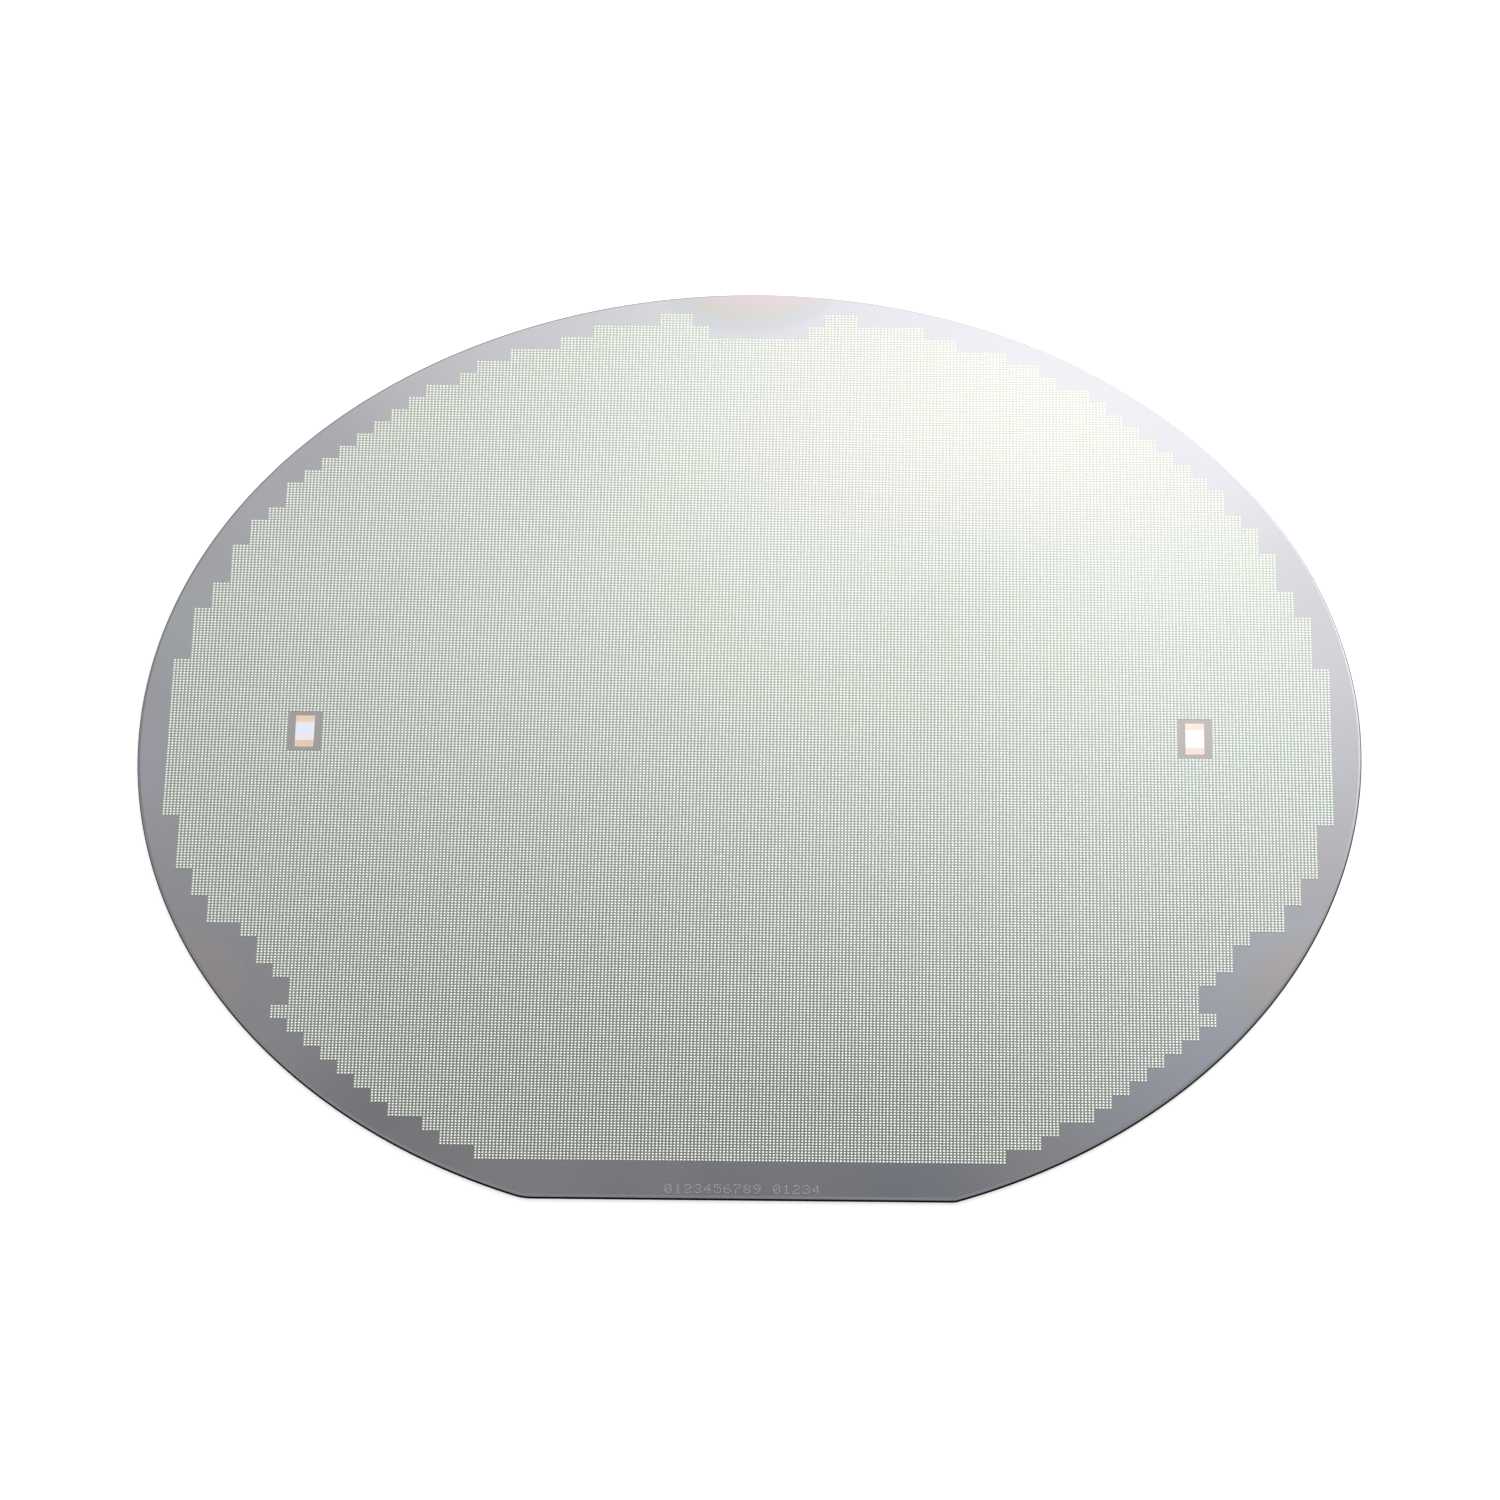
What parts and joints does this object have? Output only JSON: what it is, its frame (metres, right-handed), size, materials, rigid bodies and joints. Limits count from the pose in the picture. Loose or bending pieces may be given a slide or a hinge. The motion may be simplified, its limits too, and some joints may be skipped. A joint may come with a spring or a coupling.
{
  "type": "silicon wafer",
  "caption": "Processed silicon wafer with a primary flat, a ground edge, a stepped field of small dies and two test sites.",
  "frame": {"origin": "middle of the wafer's full circle, on its back face", "axes": "+Z out of the patterned front face, -Y towards the primary flat, +X to the right with the flat nearest"},
  "size_m": [0.125, 0.1213, 0.0006],
  "materials": {
    "silicon": "polished silicon under thin glassy films, with small bright metal pads in rows on the front"
  },
  "bodies": {
    "root": {"wafer": "silicon"}
  },
  "joints": []
}
